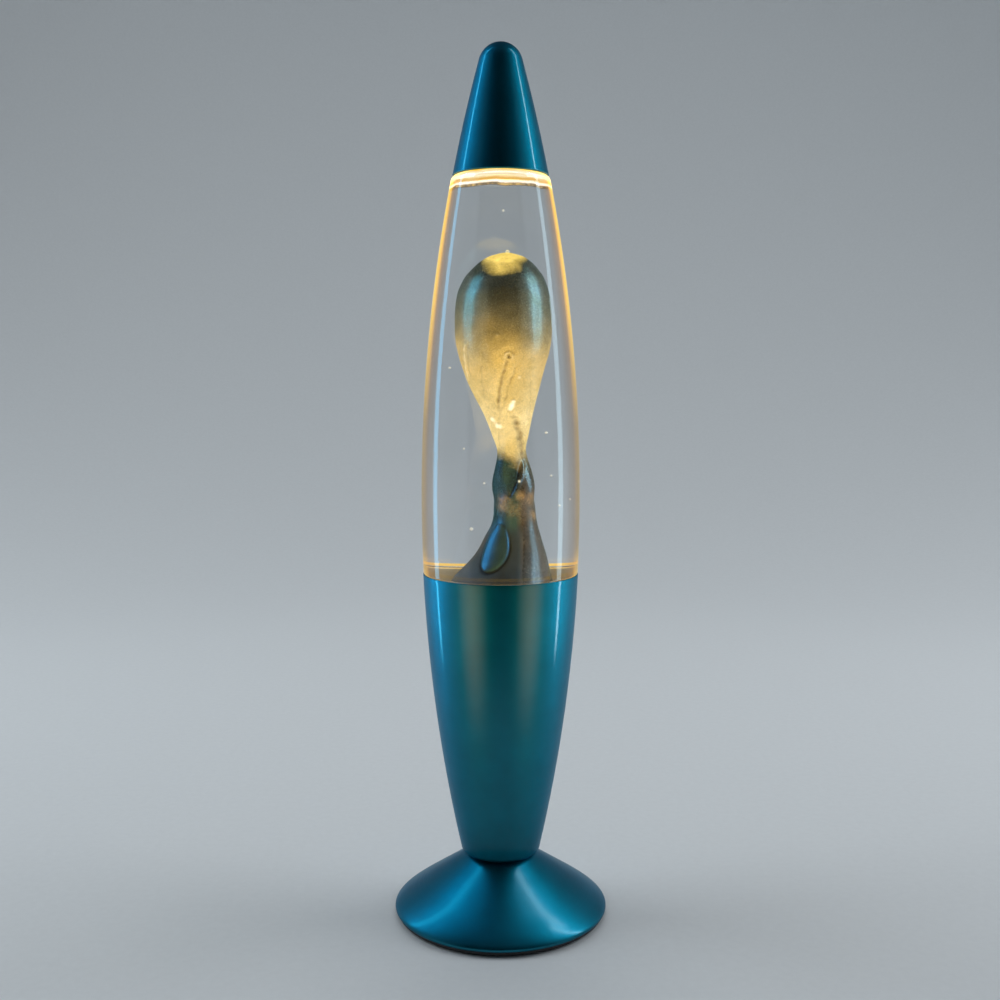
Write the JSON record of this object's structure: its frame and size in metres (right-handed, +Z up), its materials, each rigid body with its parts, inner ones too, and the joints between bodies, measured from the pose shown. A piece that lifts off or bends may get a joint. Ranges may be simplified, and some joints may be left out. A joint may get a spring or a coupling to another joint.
{
  "type": "liquid motion lamp",
  "caption": "Tall liquid motion lamp: a blue spun-metal foot, sleeve and cap, and a lift-out glass bottle of clear liquid in which a wax column rises, lit from below by a screw-in bulb.",
  "frame": {"origin": "on the table under the middle of the foot", "axes": "+Z up along the lamp, +Y to the back where the cord enters, the picture looks along +Y"},
  "size_m": [0.1024, 0.1024, 0.41],
  "materials": {
    "blue_aluminium": "anodised, spun",
    "black_plate": "moulded",
    "black_foam": "matt",
    "black_rubber": "matt",
    "black_plastic": "moulded",
    "zinc_steel": "zinc plated",
    "stem_brass": "threaded",
    "phenolic": "moulded",
    "porcelain": "plain",
    "contact_brass": "pressed",
    "block_plastic": "moulded",
    "brown_insulation": "smooth",
    "blue_insulation": "smooth",
    "bulb_envelope": "frosted",
    "bulb_metal": "rolled thread",
    "bulb_black_glass": "glossy",
    "solder": "dull",
    "stem_glass": "clear",
    "tungsten": "glowing",
    "bottle_glass": "clear",
    "liner": "soft",
    "crown_metal": "lacquered",
    "wax": "pearly, glittering",
    "clear_liquid": "clear liquid",
    "coil_steel": "drawn wire"
  },
  "bodies": {
    "base": {"foot": "blue_aluminium", "cord_bushing": "black_plastic", "base_plate": "black_plate", "base_pad": "black_foam", "base_screws": "zinc_steel", "stem": "stem_brass", "stem_nut": "zinc_steel", "tooth_washer": "zinc_steel", "neck_washer": "black_rubber", "sleeve": "blue_aluminium", "holder_cover": "phenolic", "holder_core": "porcelain", "holder_skirt": "phenolic", "screw_shell": "contact_brass", "middle_contact": "contact_brass", "terminal_block": "block_plastic", "block_screws": "zinc_steel", "live_lead": "brown_insulation", "neutral_lead": "blue_insulation"},
    "globe": {"bottle": "bottle_glass", "crown_liner": "liner", "crown_cap": "crown_metal", "wax": "wax", "liquid": "clear_liquid", "heat_coil": "coil_steel"},
    "cap": {"top_cap": "blue_aluminium"},
    "bulb_tip": {"bulb_contact": "solder"},
    "bulb": {"bulb_glass": "bulb_envelope", "bulb_screw_cap": "bulb_metal", "bulb_insulator": "bulb_black_glass", "bulb_stem": "stem_glass", "bulb_filament": "tungsten"}
  },
  "joints": [
    {"name": "globe_lift", "type": "slide", "parent": "base", "child": "globe", "axis": [0, 0, 1], "range_m": [0, 0.08]},
    {"name": "cap_lift", "type": "slide", "parent": "globe", "child": "cap", "axis": [0, 0, 1], "range_m": [0, 0.06]},
    {"name": "bulb_rise", "type": "slide", "parent": "base", "child": "bulb_tip", "axis": [0, 0, 1], "range_m": [0, 0.01129]},
    {"name": "bulb_turn", "type": "hinge", "parent": "bulb_tip", "child": "bulb", "pos_m": [0, 0, 0.06], "axis": [0, 0, 1], "range_deg": [0, 1440]}
  ],
  "couplings": [
    {"joint": "bulb_rise", "follows": "bulb_turn", "m_per_rad": 0.00044913}
  ]
}
